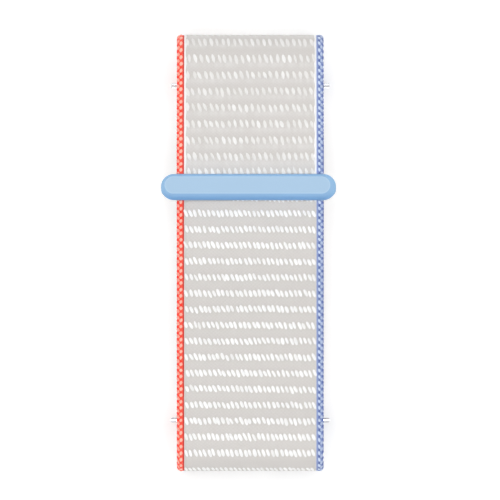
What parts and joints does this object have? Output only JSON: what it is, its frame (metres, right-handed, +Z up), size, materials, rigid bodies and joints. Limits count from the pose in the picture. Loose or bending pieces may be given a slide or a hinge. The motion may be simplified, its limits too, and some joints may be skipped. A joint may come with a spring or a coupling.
{
  "type": "hook and loop watch strap",
  "caption": "Two-part woven watch strap with coloured edges, closed through a ring by a fold-back hook and loop flap, with quick release bars at the lug ends.",
  "frame": {"origin": "centre of the footprint, at the level of the two lug folds that the closed strap stands on", "axes": "+X across the strap toward the blue edge, +Y along the loop toward the short strap's lug, +Z up through the closure"},
  "size_m": [0.0264, 0.0656, 0.0544],
  "materials": {
    "grey_webbing": "woven nylon webbing, light warm grey with white float yarns",
    "red_edge_braid": "braided red-orange nylon edge",
    "blue_edge_braid": "braided periwinkle blue nylon edge",
    "blue_anodised_ring": "satin light blue coating with a bevelled face",
    "hook_tape": "moulded nylon hook tape",
    "pull_tab_rubber": "moulded silicone grip with cross ribs",
    "stainless_bar": "turned stainless steel",
    "spring_wire": "drawn spring wire"
  },
  "bodies": {
    "short_strap": {"short_strap_web": "grey_webbing", "short_strap_red_edge": "red_edge_braid", "short_strap_blue_edge": "blue_edge_braid"},
    "ring": {"buckle_ring": "blue_anodised_ring"},
    "long_strap": {"long_strap_web": "grey_webbing", "long_strap_red_edge": "red_edge_braid", "long_strap_blue_edge": "blue_edge_braid"},
    "flap_root": {"flap_root_web": "grey_webbing", "flap_root_red_edge": "red_edge_braid", "flap_root_blue_edge": "blue_edge_braid"},
    "flap_tip": {"flap_tip_web": "grey_webbing", "flap_tip_red_edge": "red_edge_braid", "flap_tip_blue_edge": "blue_edge_braid", "hook_patch": "hook_tape", "pull_tab": "pull_tab_rubber"},
    "upper_bar": {"upper_bar_barrel": "stainless_bar", "upper_bar_fixed_tip": "stainless_bar", "upper_bar_spring": "spring_wire"},
    "upper_pin": {"upper_bar_sliding_pin": "stainless_bar", "upper_bar_release_knob": "stainless_bar"},
    "lower_bar": {"lower_bar_barrel": "stainless_bar", "lower_bar_fixed_tip": "stainless_bar", "lower_bar_spring": "spring_wire"},
    "lower_pin": {"lower_bar_sliding_pin": "stainless_bar", "lower_bar_release_knob": "stainless_bar"}
  },
  "joints": [
    {"name": "ring_tilt", "type": "hinge", "parent": "short_strap", "child": "ring", "pos_m": [0, 0.01007, 0.05176], "axis": [1, 0, 0], "range_deg": [-8, 8]},
    {"name": "strap_swing", "type": "hinge", "parent": "ring", "child": "long_strap", "pos_m": [0, 0.00954, 0.04828], "axis": [1, 0, 0], "range_deg": [-8, 8]},
    {"name": "flap_open", "type": "hinge", "parent": "long_strap", "child": "flap_root", "pos_m": [0, 0.00737, 0.05061], "axis": [-1, 0, 0], "range_deg": [0, 90]},
    {"name": "flap_tip_lift", "type": "hinge", "parent": "flap_root", "child": "flap_tip", "pos_m": [0, -0.02888, 0.046], "axis": [-1, 0, 0], "range_deg": [0, 60]},
    {"name": "upper_bar_turn", "type": "hinge", "parent": "short_strap", "child": "upper_bar", "pos_m": [0, 0.0255, 0.00155], "axis": [1, 0, 0], "range_deg": [-8, 8]},
    {"name": "upper_pin_release", "type": "slide", "parent": "upper_bar", "child": "upper_pin", "axis": [-1, 0, 0], "range_m": [0, 0.0016], "stiffness_N_per_m": 600, "springref_m": -0.0008, "deforming": ["upper_bar_spring"]},
    {"name": "lower_bar_turn", "type": "hinge", "parent": "long_strap", "child": "lower_bar", "pos_m": [0, -0.0255, 0.00155], "axis": [1, 0, 0], "range_deg": [-8, 8]},
    {"name": "lower_pin_release", "type": "slide", "parent": "lower_bar", "child": "lower_pin", "axis": [1, 0, 0], "range_m": [0, 0.0016], "stiffness_N_per_m": 600, "springref_m": -0.0008, "deforming": ["lower_bar_spring"]}
  ]
}
